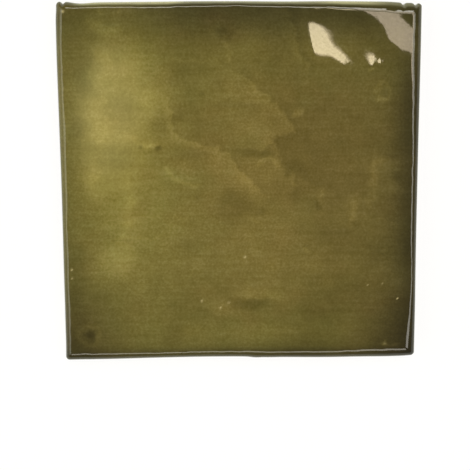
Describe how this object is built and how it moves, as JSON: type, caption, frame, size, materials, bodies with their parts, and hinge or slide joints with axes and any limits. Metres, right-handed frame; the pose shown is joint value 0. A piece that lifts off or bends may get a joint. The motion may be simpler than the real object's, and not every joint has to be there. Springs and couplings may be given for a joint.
{
  "type": "zellige-effect wall tile",
  "caption": "Square glazed ceramic wall tile with a softly swelling olive face, a rounded shoulder, uneven hand-finished edges and a keyed flat back for adhesive.",
  "frame": {"origin": "middle of the plane that the back rests on, under the middle of the tile", "axes": "+Z out of the glazed face, +Y towards the edge that is uppermost on a wall, +X to the right seen from the front"},
  "size_m": [0.1001, 0.1004, 0.0092],
  "materials": {
    "glazed_ceramic": "glossy olive glaze on the face and shoulder, bare fired clay on the back"
  },
  "bodies": {
    "root": {"wall_tile": "glazed_ceramic"}
  },
  "joints": []
}
